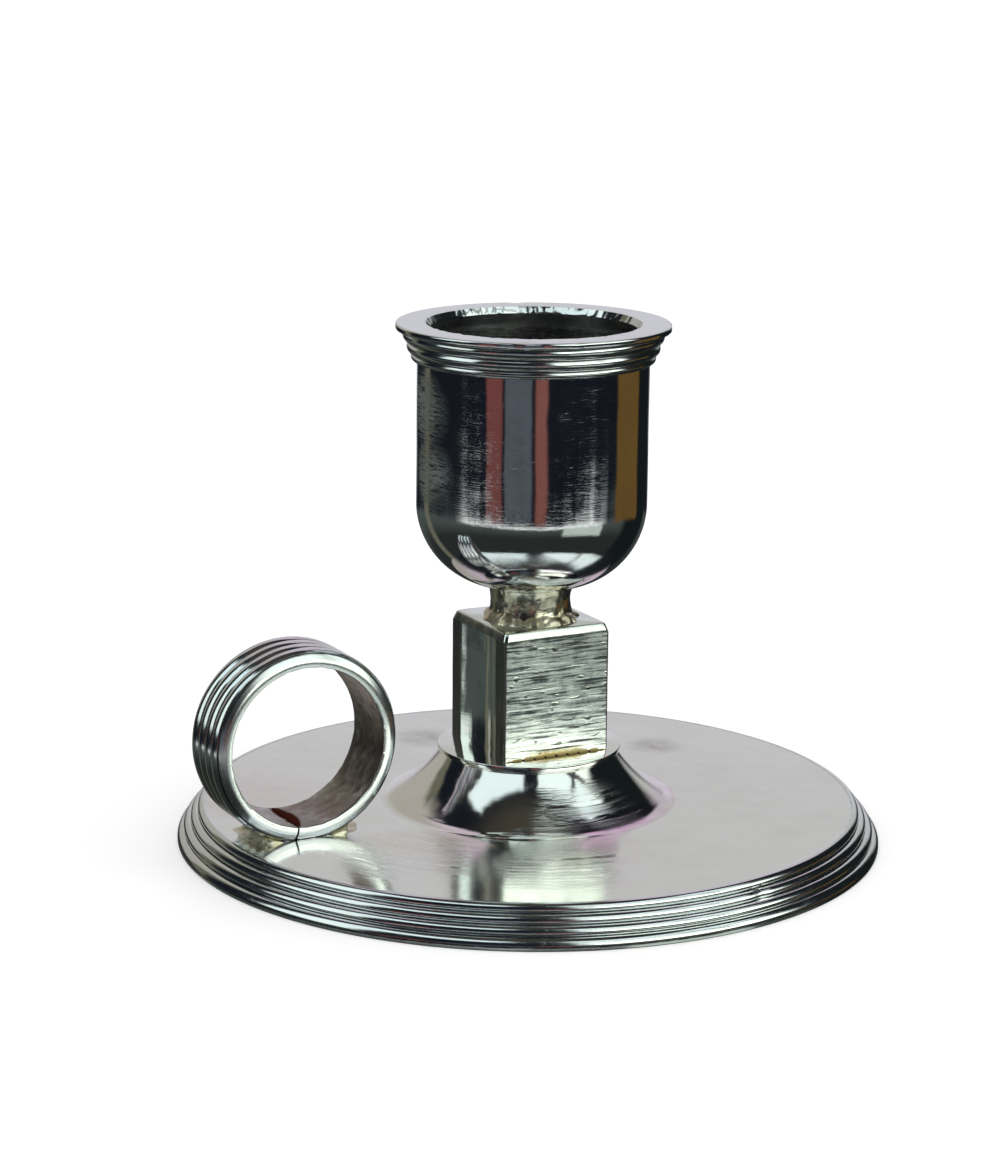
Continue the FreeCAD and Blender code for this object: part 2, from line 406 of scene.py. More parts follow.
def block_outline():
    """Points round the block seen from above, one of its halves turned into the other."""
    half_cove = cove_width / 2
    flat = block_half - block_corner
    quarter = quarter_rise(block_corner)
    section = Outline((-flat, -block_half))
    for way in (1, -1):
        section.line((way * flat, way * -block_half), block_front_steps)
        section.arc((way * block_half, way * -flat), quarter, corner_steps)
        section.line((way * block_half, way * -half_cove), block_margin_steps)
        section.arc((way * block_half, way * half_cove), -cove_depth, cove_steps)
        section.line((way * block_half, way * flat), block_margin_steps)
        section.arc((way * flat, way * block_half), quarter, corner_steps)
    return section.points[:-1]


def strokes(x, z, kind, seed):
    """Noise from -1 to 1 in level strokes of about that length and thickness."""
    length, thickness = kind
    return noise.noise(Vector((x / length, seed, z / thickness)))


def file_marks(x, z, seed):
    """Height of a flat face of the block where the file has left it, below 0 in the strokes."""
    slant = z + 0.035 * x + 0.12 * MM * strokes(x, z, file_drift, seed)
    broad = strokes(x, slant, broad_stroke, seed)
    fine = strokes(x, slant, fine_stroke, seed + 9)
    gouge = max(0.0, strokes(x, slant, gouge_stroke, seed + 21) - 0.05)
    chatter = max(0.0, strokes(x, slant, chatter_stroke, seed + 33) - 0.38)
    return 0.030 * MM * broad + 0.022 * MM * fine - 0.07 * MM * gouge - 0.25 * MM * chatter


def cove_marks(spot):
    """Height of the coved sides: upright flutes and small lumps."""
    x, y, z = spot
    flutes = lump((0, y, z / 14), 0.45 * MM, 4.5)
    return MM * (0.02 * lump((x, y, z / 3), 0.8 * MM, 4.0) + 0.022 * (flutes - 0.3))


def make_block():
    """The block, its strokes fading at both ends, smoother and paler towards its foot."""
    points = block_outline()
    vertices = []
    marks = []
    for level in range(block_layers + 1):
        up = (block_top - plate_top) * level / block_layers
        z = plate_top + up
        fade = min(1.0, file_fade_part * min(level, block_layers - level) / block_layers)
        # Towards the foot the flat faces are smoother and paler: fewer grey streaks and shallower strokes
        smooth_pale = 1 - ramp(up, *smooth_pale_heights)
        near_foot = 1 - ramp(up, 0, foot_stain_height)
        for x, y in points:
            flat_face = abs(abs(y) - block_half) < 0.01 * MM
            if flat_face:
                seed = 2.0 if y < 0 else 14.0
                depth = fade * (1 - 0.35 * smooth_pale) * file_marks(x, z, seed)
                spot = (x, y + math.copysign(min(depth, 0), y), z)
            else:
                depth = fade * cove_marks((x, y, z))
                spot = (x + math.copysign(min(depth, 0), x), y, z)
            crease = max(-depth / full_crease_depth, margin_tarnish(x, y))
            dull = 1 - 0.6 * smooth_pale if flat_face else 0.0
            stain = 1.3 * near_foot * max(0.0, 1 - (x / foot_stain_half) ** 4)
            vertices.append(spot)
            marks.append((crease, dull, stain))
    faces = stack_faces(block_layers + 1, len(points))
    return new_piece("pillar_body", vertices, faces, marks, sharp_angle=math.radians(50))


def margin_tarnish(x, y):
    """1 on the narrow flats beside a cove, where dark tarnish stays."""
    beside = abs(abs(y) - (cove_width / 2 + block_half) / 2) < (block_half - cove_width / 2) / 2
    return 1.0 if beside and abs(x) > block_half - block_edge_margin else 0.0


def stack_faces(rings, count):
    """Faces between rings of that many vertices stacked upwards, with a floor and a top."""
    faces = [tuple(reversed(range(count)))]
    for low in range(0, (rings - 1) * count, count):
        for step in range(count):
            after = (step + 1) % count
            faces.append((low + step, low + after, low + count + after, low + count + step))
    faces.append(tuple(range((rings - 1) * count, rings * count)))
    return faces


def make_cap():
    """The plate on the block, with a dark joint line under it and its edges worn round."""
    rings = [(0.0, block_top), (0.0, block_top + cap_joint_height)]
    rings += [(inset, cap_top - below) for inset, below in cap_edge]
    vertices = []
    marks = []
    for ring, (inset, z) in enumerate(rings):
        half = block_half - inset
        for side in range(4):
            turn = Matrix.Rotation(side * math.pi / 2, 3, "Z")
            for step in range(cap_side_steps):
                spot = turn @ Vector((-half + 2 * half * step / cap_side_steps, -half, z))
                corner = max(0, min(abs(spot.x), abs(spot.y)) - half + cap_corner_start)
                diagonal = Vector((math.copysign(1, spot.x), math.copysign(1, spot.y), 0))
                spot = spot - diagonal * corner ** 2 / cap_corner_round
                sink = max(0, uneven(spot, cap_hollows, 5.0)) * (ring > 1)
                vertices.append(spot - Vector((0, 0, sink)))
                marks.append((1.0 if ring == 0 else 0.0, 0.15, 0.0))
    faces = stack_faces(len(rings), 4 * cap_side_steps)
    return new_piece("pillar_plate", vertices, faces, marks, sharp_angle=math.radians(40))


def ribbon(name, sections, marks):
    """Joins equal sections one after another, with the two ends closed."""
    count = len(sections[0])
    vertices = [spot for section in sections for spot in section]
    faces = [tuple(range(count))]
    for row in range(len(sections) - 1):
        for step in range(count):
            after = (step + 1) % count
            low = row * count
            faces.append((low + step, low + count + step, low + count + after, low + after))
    last = (len(sections) - 1) * count
    faces.append(tuple(reversed(range(last, last + count))))
    return new_piece(name, vertices, faces, marks, sharp_angle=math.radians(60))


def make_pillar_solder():
    """The yellowed run of solder along the foot of the block, pitted in front."""
    low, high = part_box("pillar_solder")
    leg = high.z - low.z
    sunk = block_half - solder_sink
    curve_steps = 6
    made = []
    for number, side in enumerate((-1, 1)):
        sections = []
        marks = []
        for step in range(pillar_solder_steps + 1):
            x = low.x + (high.x - low.x) * step / pillar_solder_steps
            swell = (1.15 + 0.35 * lump((x, side, 0), 1.1 * MM, 6.0)) * (1 - 0.8 * abs(x / high.x) ** 5)
            pit = max(0.0, math.cos(2 * math.pi * x / solder_pit_pitch) - 0.55) * 1.6
            pit = min(1.0, pit * (1.0 + 0.9 * lump((x, side, 0), 2.3 * MM, 8.0)))
            section = [(x, side * sunk, low.z)]
            for turn in range(curve_steps + 1):
                angle = math.pi / 2 * turn / curve_steps
                out = leg * swell * (1 - math.sin(angle)) * (1 - 0.3 * pit)
                rise = leg * min(1.0, swell) * (1 - math.cos(angle)) * (1 - 0.5 * pit)
                section.append((x, side * (block_half + out), low.z + rise))
            section.append((x, side * sunk, low.z + leg * min(1.0, swell)))
            sections.append(section if side > 0 else section[::-1])
            marks += [(1.4 * pit, 1.0, 1.2)] * len(section)
        made.append(ribbon("pillar_fillet_" + str(number), sections, marks))
    return made


def wear_neck(spot):
    """Hollows and pits all round."""
    hollow = min(0.0, uneven(spot, neck_hollows, 11.0))
    pit = min(0.0, uneven(spot, neck_pits, 11.5))
    return spot + outward(spot) * (hollow + pit)


def make_neck():
    """The waisted collar, which reaches a little into the cup's floor."""
    top = cup_bottom + neck_sink
    rise = (neck_foot_radius + neck_top_radius) / 2 - neck_waist_radius
    outline = Outline((0, cap_top))
    outline.line((neck_foot_radius, cap_top))
    outline.arc((neck_top_radius, cup_bottom), -rise, blend_steps, dull=0.4, stain=0.6, crease=0.42)
    outline.line((neck_top_radius, top))
    outline.line((0, top))
    return lathe("neck_collar", outline, False, wear_neck)


def wear_neck_solder(spot):
    """Lumps all round, a thin top, and one large blob."""
    swell = lump(spot, 2.2 * MM, 12.0) + 0.35 * lump(spot, 0.7 * MM, 13.0)
    free = ramp(spot.xy.length, neck_waist_radius, neck_waist_radius + 0.5 * MM)
    lift = max(0.0, spot.z - cap_top) / MM
    blob = nick(spot, solder_blob_angle, solder_blob_reach, 1.0)
    out = outward(spot) * MM * (0.5 * (min(swell, 0.5) - 0.9) * free + 0.2 * blob * lift)
    return spot + out + Vector((0, 0, MM * lift * (0.3 * swell + 0.5 * blob)))


def make_neck_solder():
    """The rough ring of solder round the neck's foot."""
    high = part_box("neck_solder")[1]
    inner = neck_waist_radius - solder_sink
    outline = Outline((inner, cap_top))
    outline.line((high.x, cap_top))
    outline.arc((neck_waist_radius, high.z), neck_solder_hollow, count=12, dull=0.5, stain=0.7)
    outline.line((inner, high.z))
    return lathe("neck_fillet", outline, True, wear_neck_solder)


def wear_cup(spot):
    """A slightly uneven wall, but not where the rim's reeds cover it."""
    wave = uneven(spot, cup_wave, 15.0) + uneven(spot, cup_ripple, 16.0)
    below_rim = spot.z < cup_top - cup_covered_height
    return spot + outward(spot) * min(0.0, wave - 0.02 * MM) * below_rim


def make_cup():
    """The cup, dim and stained inside."""
    flat_radius = cup_radius - socket_bottom_round
    inner_round = bore_radius - flat_radius
    floor = cup_bottom + socket_bottom_thickness
    outline = Outline((0, cup_bottom))
    outline.line((flat_radius, cup_bottom), count=4)
    bend = quarter_rise(socket_bottom_round)
    outline.arc((cup_radius, cup_bottom + socket_bottom_round), bend, slope_steps)
    outline.line((cup_radius, cup_top), count=30)
    outline.line((bore_radius, cup_top))
    outline.line((bore_radius, cup_top - cup_clean_depth), count=4, dull=0.2, stain=0.1)
    outline.line((bore_radius, floor + inner_round), count=20, dull=0.5, stain=1.0)
    outline.arc((flat_radius, floor), -quarter_rise(inner_round), count=20, dull=0.6, stain=1.0)
    outline.line((0, floor), count=3, dull=0.6, stain=1.0)
    return lathe("socket_bowl", outline, False, wear_cup)


def wear_rim(spot):
    """Dents in the flange's outer edge, and a ragged bevel round the mouth."""
    out = outward(spot)
    if spot.z <= cup_top:
        return spot
    if spot.xy.length < bore_radius + rim_ragged_width:
        ragged = max(0.0, 0.5 + 0.5 * lump(spot, 0.9 * MM, 41.0) + 0.5 * lump(spot, 0.35 * MM, 42.0))
        return spot + (out * rim_ragged_out - Vector((0, 0, rim_ragged_down))) * ragged
    if spot.xy.length > rim_radius - rim_dent_band:
        dents = sum(nick(spot, *dent) for dent in rim_dents)
        return spot - (out + Vector((0, 0, 0.5))) * dents
    return spot


def make_rim():
    """The flange with its reeds stepping in below it, and the bevel of its mouth."""
    outline = Outline((bore_radius, rim_top - rim_bevel_height))
    outline.line((bore_radius, cup_top))
    outline.line((cup_radius, cup_top))
    level = cup_top - sum(rim_reed_heights)
    outline.line((cup_radius, level))
    for step, height in enumerate(rim_reed_heights, 1):
        level = level + height
        radius = cup_radius + rim_reeding_width * step / len(rim_reed_heights)
        outline.reed((radius, level), rim_reed_rise)
    quarter = quarter_rise(rim_edge_round)
    outline.line((rim_radius - rim_edge_round, cup_top))
    outline.arc((rim_radius, cup_top + rim_edge_round), quarter, count=5)
    outline.line((rim_radius, rim_top - rim_edge_round))
    outline.arc((rim_radius - rim_edge_round, rim_top), quarter, count=5)
    outline.line((bore_radius + rim_bevel_width, rim_top), count=4)
    return lathe("socket_lip", outline, True, wear_rim)


def loop_outline():
    """Outline of the strip as (radius, place across it), reeds outside."""
    crease_radius = loop_outer_radius - loop_reed_rise
    first = loop_half_band - loop_bevel_width
    flat_radius = loop_bore_radius + loop_flat_height
    corner = loop_inner_corner
    outline = Outline((loop_bore_radius + corner, -loop_half_band), dull=0.4)
    outline.line((flat_radius, -loop_half_band), count=2, dull=0.4)
    outline.line((crease_radius, -first), count=3, dull=0.3)
    for step in range(1, loop_reed_count + 1):
        outline.reed((crease_radius, -first + 2 * first * step / loop_reed_count), loop_reed_rise)
    outline.line((flat_radius, loop_half_band), count=3, dull=0.3)
    outline.line((loop_bore_radius + corner, loop_half_band), count=2, dull=0.4)
    inside = {"dull": 0.8, "stain": 1.0, "crease": 0.45}
    outline.line((loop_bore_radius, loop_half_band - corner), **inside)
    outline.line((loop_bore_radius, -loop_half_band + corner), count=24, **inside)
    return outline


def make_loop():
    """The strip bent round, its ends butted at the foot and its seat filed flat."""
    outline = loop_outline()
    half_gap = math.asin(loop_seam_gap / 2 / loop_bore_radius)
    sections = []
    marks = []
    for step in range(loop_steps + 1):
        angle = loop_seam_angle + half_gap + (2 * math.pi - 2 * half_gap) * step / loop_steps
        out = Vector((math.cos(angle), 0, math.sin(angle)))
        section = []
        for radius, across in outline.points:
            inside = radius < loop_bore_radius + loop_inner_corner / 2
            spot = out * radius + Vector((0, across, 0))
            rough = uneven(spot, loop_inner_lumps, 21.0) * inside + uneven(spot, loop_wave, 22.0)
            spot = spot + loop_centre + out * max(rough, 0) * (1 if inside else -1)
            spot.z = max(spot.z, dish_top)
            section.append(spot)
        sections.append(section[::-1])
        marks += outline.marks[::-1]
    return ribbon("loop_strip", sections, marks)


def make_loop_solder():
    """Solder drawn up on both sides of the foot of the loop."""
    low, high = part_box("loop_solder")
    foot = math.sqrt(loop_outer_radius ** 2 - (loop_centre.z - dish_top) ** 2)
    tall = high.z - low.z
    curve_steps = 12
    made = []
    for number, side in enumerate((-1, 1)):
        sections = []
        marks = []
        end = low.x if side < 0 else high.x
        spread = abs(end - loop_centre.x) - foot
        for step in range(loop_solder_steps + 1):
            y = low.y + (high.y - low.y) * step / loop_solder_steps
            swell = 0.85 + 0.25 * lump((y, side, 0.3), 2.5 * MM, 31.0)
            fade = 0.3 + 0.7 * math.sqrt(1 - abs(2 * step / loop_solder_steps - 1) ** 3)
            section = []
            for turn in range(curve_steps + 1):
                share = turn / curve_steps
                climb = tall * fade * share ** 1.9
                up = loop_centre.z - dish_top - climb
                strip = math.sqrt(max(0, loop_outer_radius ** 2 - up ** 2))
                out = strip + (spread - (strip - foot)) * (1 - share) * swell * fade
                spot = Vector((loop_centre.x + side * out, y, dish_top + climb))
                bump = uneven(spot, loop_solder_lumps, 32.0) * math.sin(math.pi * share)
                section.append(spot + Vector((0, 0, bump)))
                marks.append((max(0.0, lump(spot, 0.8 * MM, 33.0)), 0.6, 0.6))
            section.append(Vector((loop_centre.x + side * (foot - loop_solder_sink), y, dish_top)))
            marks.append((0.0, 0.6, 0.6))
            section = [Vector((spot.x, spot.y, max(spot.z, dish_top))) for spot in section]
            sections.append(section if side < 0 else section[::-1])
        made.append(ribbon("loop_fillet_" + str(number), sections, marks))
    return made


# Materials


class Nodes:
    """Short calls for building a node tree."""

    def __init__(self, tree):
        self.tree = tree
        tree.nodes.clear()

    def add(self, kind, inputs=None, **settings):
        made = self.tree.nodes.new(kind)
        for key, value in settings.items():
            setattr(made, key, value)
        for key, value in (inputs or {}).items():
            if isinstance(value, bpy.types.NodeSocket):
                self.tree.links.new(value, made.inputs[key])
            else:
                made.inputs[key].default_value = value
        return made

    def math(self, operation, first, second=0.0, third=0.0, clamp=False):
        inputs = {0: first, 1: second, 2: third}
        return self.add("ShaderNodeMath", inputs, operation=operation, use_clamp=clamp).outputs[0]

    def times(self, first, second):
        return self.math("MULTIPLY", first, second)

    def most(self, first, second):
        return self.math("MAXIMUM", first, second)

    def noise(self, vector, scale, detail, roughness):
        inputs = {"Vector": vector, "Scale": scale, "Detail": detail, "Roughness": roughness}
        return self.add("ShaderNodeTexNoise", inputs).outputs[0]

    def remap(self, value, low, high, new_low=0.0, new_high=1.0):
        """From new_low at low to new_high at high, smoothly, and level beyond."""
        inputs = {"Value": value, "From Min": low, "From Max": high, "To Min": new_low, "To Max": new_high}
        return self.add("ShaderNodeMapRange", inputs, interpolation_type="SMOOTHSTEP").outputs[0]

    def vector(self, operation, inputs):
        return self.add("ShaderNodeVectorMath", inputs, operation=operation).outputs[0]

    def mix(self, share, first, second):
        made = self.add("ShaderNodeMix", {"Factor": share}, data_type="RGBA")
        for socket, value in ((made.inputs[6], first), (made.inputs[7], second)):
            if isinstance(value, bpy.types.NodeSocket):
                self.tree.links.new(value, socket)
            else:
                socket.default_value = value
        return made.outputs[2]

    def stretch(self, vector, scale):
        return self.add("ShaderNodeMapping", {"Vector": vector, "Scale": scale}).outputs[0]

    def bump(self, height, strength, distance, normal=None):
        inputs = {"Height": height, "Strength": strength, "Distance": distance}
        if normal:
            inputs["Normal"] = normal
        return self.add("ShaderNodeBump", inputs).outputs[0]


def round_axis(nodes, position):
    """Place as (radius, shortened angle, height), for marks that run round the axis."""
    parts = nodes.add("ShaderNodeSeparateXYZ", {0: position}).outputs
    squares = nodes.math("ADD", nodes.math("POWER", parts[0], 2.0), nodes.math("POWER", parts[1], 2.0))
    radius = nodes.math("SQRT", squares)
    turn = nodes.times(nodes.math("ARCTAN2", parts[1], parts[0]), 0.6 * MM)
    return nodes.add("ShaderNodeCombineXYZ", {0: radius, 1: turn, 2: parts[2]}).outputs[0]


def near(nodes, position, centre, radius, core=0.35):
    """1 at a place on the object, falling to 0 at that distance, all in metres."""
    away = nodes.add("ShaderNodeVectorMath", {0: position, 1: centre}, operation="DISTANCE").outputs["Value"]
    return nodes.remap(away, radius, core * radius)


BLACK_TARNISH = (0.022, 0.020, 0.018, 1)
BROWN_STAIN = (0.30, 0.17, 0.07, 1)
GREY_STREAK = (0.07, 0.085, 0.095, 1)
# How fine the noises are, in waves per metre, and how deep the bumps go
wave_scale = 110.0
cloud_scale = 140.0
patch_scale = 520.0
line_scale = 1500.0
speck_scale = 2200.0
wave_depth = 0.5 * MM
line_depth = 0.05 * MM


def silver(name, tint, tarnish, polish, scuff, wave=0.25, creased=0.0, stain=BROWN_STAIN, stained=0.6,
           marks=(1, 1, 1), lined=0.3, turned=False, patchy=0.5, streaked=0.0, scuffs=(), spots=(),
           tinges=()):
    """Worn silver.

    tint and tarnish are its clean and its dim colour, polish and scuff its roughness where it is smooth
    and where it is dull. wave is how uneven it is and lined how strong its fine lines are: marks stretches
    them, and turned lays them round the axis. creased, stained, patchy and streaked are the shares of dark
    dirt, stain, dull patches and grey streaks. scuffs, spots and tinges are single places that are dull,
    painted over or tinted.
    """
    material = bpy.data.materials.new(name)
    material.use_nodes = True
    nodes = Nodes(material.node_tree)
    # Each remap below names the two levels of noise between which that wear begins and is full
    position = nodes.add("ShaderNodeTexCoord").outputs["Object"]
    read = [nodes.add("ShaderNodeAttribute", attribute_name=mark).outputs["Fac"] for mark in MARKS]
    crease, dull, stain_mark = read
    clouds = nodes.noise(position, cloud_scale, 5.0, 0.6)
    patches = nodes.noise(position, patch_scale, 6.0, 0.68)
    specks = nodes.noise(position, speck_scale, 3.0, 0.6)
    grain = nodes.stretch(round_axis(nodes, position) if turned else position, marks)
    lines = nodes.noise(grain, line_scale, 4.0, 0.65)
    for centre, radius in scuffs:
        share = nodes.times(near(nodes, position, centre, radius), nodes.remap(lines, 0.42, 0.56))
        dull = nodes.most(dull, share)
    dirt = nodes.math("MULTIPLY_ADD", patches, 0.6, crease)
    dirt = nodes.times(nodes.remap(dirt, 0.75, 1.3), creased)
    stain_share = nodes.math("MULTIPLY_ADD", patches, 1.3, stain_mark)
    stain_share = nodes.times(nodes.remap(stain_share, 1.05, 1.75), stained)

    colour = nodes.mix(nodes.remap(clouds, 0.42, 0.7, 0.0, 0.35), tint, tarnish)
    for centre, radius, strength, tinge in tinges:
        cloudy = nodes.remap(patches, 0.3, 0.65, 0.45 * strength, strength)
        share = nodes.times(near(nodes, position, centre, radius, 0.15), cloudy)
        colour = nodes.mix(share, colour, tinge)
    colour = nodes.mix(stain_share, colour, stain)
    colour = nodes.mix(nodes.remap(specks, 0.68, 0.78, 0.0, 0.5), colour, tarnish)
    broken = nodes.math("MULTIPLY_ADD", patches, 0.35, nodes.times(lines, 0.9))
    streak = nodes.times(nodes.remap(broken, 0.58, 0.72, 0.0, streaked), dull)
    colour = nodes.mix(streak, colour, GREY_STREAK)
    colour = nodes.mix(dirt, colour, BLACK_TARNISH)
    metallic = 1.0
    for centre, radius, spot_colour in spots:
        share = nodes.times(near(nodes, position, centre, radius, 0.5), nodes.remap(patches, 0.34, 0.42))
        colour = nodes.mix(share, colour, spot_colour)
        dull = nodes.most(dull, share)
        metallic = nodes.math("SUBTRACT", metallic, share, clamp=True)
    specular = nodes.times(metallic, 0.5) if spots else 0.5

    worn = nodes.remap(patches, 0.54, 0.74, 0.0, patchy)
    worn = nodes.most(worn, nodes.remap(lines, 0.6, 0.76, 0.0, lined))
    worn = nodes.most(worn, nodes.times(dull, nodes.remap(lines, 0.2, 0.6, 0.7, 1.0)))
    rough = nodes.math("MULTIPLY_ADD", worn, scuff - polish, polish)
    rough = nodes.most(rough, nodes.times(dirt, 0.55))
    wavy = nodes.bump(nodes.noise(position, wave_scale, 3.0, 0.45), wave, wave_depth)
    depth = nodes.math("MULTIPLY_ADD", dull, 0.85, 0.15)
    fine = nodes.bump(nodes.times(lines, depth), lined, line_depth, wavy)
    inputs = {"Base Color": colour, "Metallic": metallic, "Roughness": rough, "Normal": fine}
    inputs["Specular IOR Level"] = specular
    shader = nodes.add("ShaderNodeBsdfPrincipled", inputs)
    nodes.add("ShaderNodeOutputMaterial", {"Surface": shader.outputs[0]})
    return material


def floor_material():
    material = bpy.data.materials.new("pale_floor")
    material.use_nodes = True
    nodes = Nodes(material.node_tree)
    inputs = {"Base Color": (0.9, 0.88, 0.885, 1), "Roughness": 0.7}
    inputs["Emission Color"] = (1.0, 0.97, 0.98, 1)
    inputs["Emission Strength"] = 0.24
    shader = nodes.add("ShaderNodeBsdfPrincipled", inputs)
    nodes.add("ShaderNodeOutputMaterial", {"Surface": shader.outputs[0]})
    return material


# Studio


def make_floor():
    """The pale floor, hidden from mirror rays."""
    half = 6.0
    corners = [(-half, -half, 0), (half, -half, 0), (half, half, 0), (-half, half, 0)]
    mesh = bpy.data.meshes.new("floor")
    mesh.from_pydata(corners, [], [(0, 1, 2, 3)])
    mesh.materials.append(floor_material())
    floor = bpy.data.objects.new("floor", mesh)
    bpy.context.scene.collection.objects.link(floor)
    floor.visible_glossy = False


def make_camera():
    """The camera beside the object, which keeps its own axes: the camera is turned instead."""
    forward = Vector((0, math.cos(camera_down), -math.sin(camera_down)))
    level_up = Vector((0, math.sin(camera_down), math.cos(camera_down)))
    right = Vector((math.cos(camera_roll), 0, 0)) + level_up * math.sin(camera_roll)
    up = level_up * math.cos(camera_roll) - Vector((math.sin(camera_roll), 0, 0))
    turn = Matrix.Rotation(-object_turn, 3, "Z")
    axes = Matrix((turn @ right, turn @ up, turn @ -forward)).transposed()
    data = bpy.data.cameras.new("camera")
    data.sensor_width = sensor_height
    data.lens = focal_pixels / image_height * sensor_height
    data.clip_start = 0.01
    camera = bpy.data.objects.new("camera", data)
    camera.matrix_world = Matrix.Translation(turn @ camera_place) @ axes.to_4x4()
    bpy.context.scene.collection.objects.link(camera)
    bpy.context.scene.camera = camera


def angle_window(nodes, angle, centre, half, soft):
    """1 inside a range of angles and 0 outside it, with soft edges, all in degrees."""
    off = nodes.math("SUBTRACT", angle, math.radians(centre))
    off = nodes.math("ABSOLUTE", nodes.math("WRAP", off, math.pi, -math.pi))
    return nodes.remap(off, math.radians(half + soft / 2), math.radians(half - soft / 2))


# What stands round the object, painted one over another: the bearing from the camera's side and its half
# width, the elevation and its half height, the softness, all in degrees, then the colour
ROOM_CARDS = (
    # Overhead, then the walls behind the object
    (0, 180, 88, 16, 24, (0.055, 0.051, 0.040)),
    (180, 46, 40, 20, 12, (0.62, 0.52, 0.61)),
    (180, 50, 16, 14, 12, (0.52, 0.525, 0.515)),
    (180, 16, 3, 12, 10, (0.64, 0.63, 0.68)),
    (-148, 20, 24, 24, 16, (0.42, 0.40, 0.36)),
    # A dark gap at the right, a narrow dull strip and a pale card at the left, and a pale strip high up
    (128, 22, 16, 60, 10, (0.008, 0.011, 0.012)),
    (-129, 5, -4, 40, 5, (0.14, 0.14, 0.10)),
    (-74, 18, 32, 28, 6, (0.95, 1.08, 1.03)),
    (-49, 42, 54, 10, 5, (0.85, 1.0, 1.0)),
    # The window at the right: its top, panes, two bars and bright sill, then its light on the table
    (62, 46, 54, 9, 5, (0.95, 1.1, 1.08)),
    (55, 38, 26, 20, 9, (1.12, 1.25, 1.17)),
    (70, 2.0, 36, 40, 2, (0.03, 0.03, 0.03)),
    (56, 44, 45, 1.6, 2, (0.05, 0.05, 0.05)),
    (55, 32, 13, 7, 4, (2.3, 2.5, 2.1)),
    (54, 22, -20.5, 6, 3, (0.50, 0.58, 0.52)),
    # The upright stripes on the wall of the cup: grey, red, red and golden
    (-14, 13, -6, 7, 3, (0.085, 0.10, 0.115)),
    (-38, 8, -6, 7, 3, (0.17, 0.055, 0.05)),
    (8, 5.5, -6, 7, 3, (0.22, 0.085, 0.07)),
    (109, 18, -11, 4, 3, (0.13, 0.075, 0.022)),
)
ROOM_DARK = (0.008, 0.010, 0.015, 1)
TABLE_DARK = (0.022, 0.026, 0.025, 1)
TABLE_PALE = (0.065, 0.08, 0.075, 1)
TABLE_EDGE = (0.95, 1.0, 0.98, 1)
PALE = (1.02, 1.02, 1.02, 1)
# The bright edge of the table below the horizon: its level at the sides, how much it dips straight ahead, its
# half thickness, and how far below it the table has grown dark, all in degrees
table_edge_level = -13.8
table_edge_dip = 2.4
table_edge_half = 1.7
table_fade = 16


def make_room():
    """A dark studio with soft boxes for what mirrors it, and plain soft light for the floor."""
    world = bpy.data.worlds.new("room")
    bpy.context.scene.world = world
    world.use_nodes = True
    nodes = Nodes(world.node_tree)
    direction = nodes.add("ShaderNodeTexCoord").outputs["Generated"]
    turned = nodes.add("ShaderNodeMapping", {"Vector": direction, "Rotation": (0, 0, object_turn)}).outputs[0]
    ripple = nodes.add("ShaderNodeTexNoise", {"Vector": turned, "Scale": 7.0, "Detail": 3.0}).outputs[1]
    ripple = nodes.vector("SUBTRACT", {0: ripple, 1: (0.5, 0.5, 0.5)})
    ripple = nodes.vector("SCALE", {0: ripple, "Scale": 0.06})
    turned = nodes.vector("ADD", {0: turned, 1: ripple})
    turned = nodes.vector("NORMALIZE", {0: turned})
    parts = nodes.add("ShaderNodeSeparateXYZ", {0: turned}).outputs
    ahead = nodes.times(parts[1], -1.0)
    bearing = nodes.math("ARCTAN2", parts[0], ahead)
    elevation = nodes.math("ARCSINE", parts[2])
    dip = nodes.math("POWER", nodes.most(ahead, 0.0), 2.0)
    steepest = -math.radians(table_edge_dip)
    edge_level = nodes.math("MULTIPLY_ADD", dip, steepest, math.radians(table_edge_level))
    above_edge = nodes.math("SUBTRACT", elevation, edge_level)
    half_edge = math.radians(table_edge_half)
    table = nodes.mix(nodes.remap(above_edge, -math.radians(table_fade), 0.0), TABLE_DARK, TABLE_PALE)
    colour = nodes.mix(nodes.remap(above_edge, 0.0, half_edge), table, ROOM_DARK)
    for centre, half, level, tall, soft, tint in ROOM_CARDS:
        across = angle_window(nodes, bearing, centre, half, soft)
        share = nodes.times(across, angle_window(nodes, elevation, level, tall, soft))
        colour = nodes.mix(share, colour, tint + (1,))
    off_edge = nodes.math("ABSOLUTE", above_edge)
    edge = nodes.remap(off_edge, half_edge, half_edge / 3)
    edge = nodes.times(edge, nodes.remap(ahead, 0.1, 0.4))
    colour = nodes.mix(edge, colour, TABLE_EDGE)
    rays = nodes.add("ShaderNodeLightPath").outputs
    plain = nodes.most(rays["Is Camera Ray"], rays["Is Diffuse Ray"])
    background = nodes.add("ShaderNodeBackground", {"Color": nodes.mix(plain, colour, PALE)})
    nodes.add("ShaderNodeOutputWorld", {"Surface": background.outputs[0]})


# The object

RED_BROWN = (0.05, 0.012, 0.008, 1)
PINKISH = (0.88, 0.74, 0.76, 1)
VIOLET = (0.86, 0.64, 0.84, 1)
SMUDGE = (0.50, 0.46, 0.44, 1)
YELLOWISH = (0.80, 0.74, 0.60, 1)
# Worn places on the dish: where, how far they reach in metres, how strong and what colour
dish_tinges = (
    ((-0.0275, 0.0140, 0.004), 0.0130, 0.65, PINKISH),
    ((-0.0194, -0.0084, 0.004), 0.0060, 0.5, YELLOWISH),
    ((-0.0010, -0.0172, 0.004), 0.0046, 0.6, PINKISH),
    ((0.0221, 0.0108, 0.004), 0.0042, 0.85, SMUDGE),
    ((-0.0004, 0.0250, 0.004), 0.0050, 0.75, SMUDGE),
)


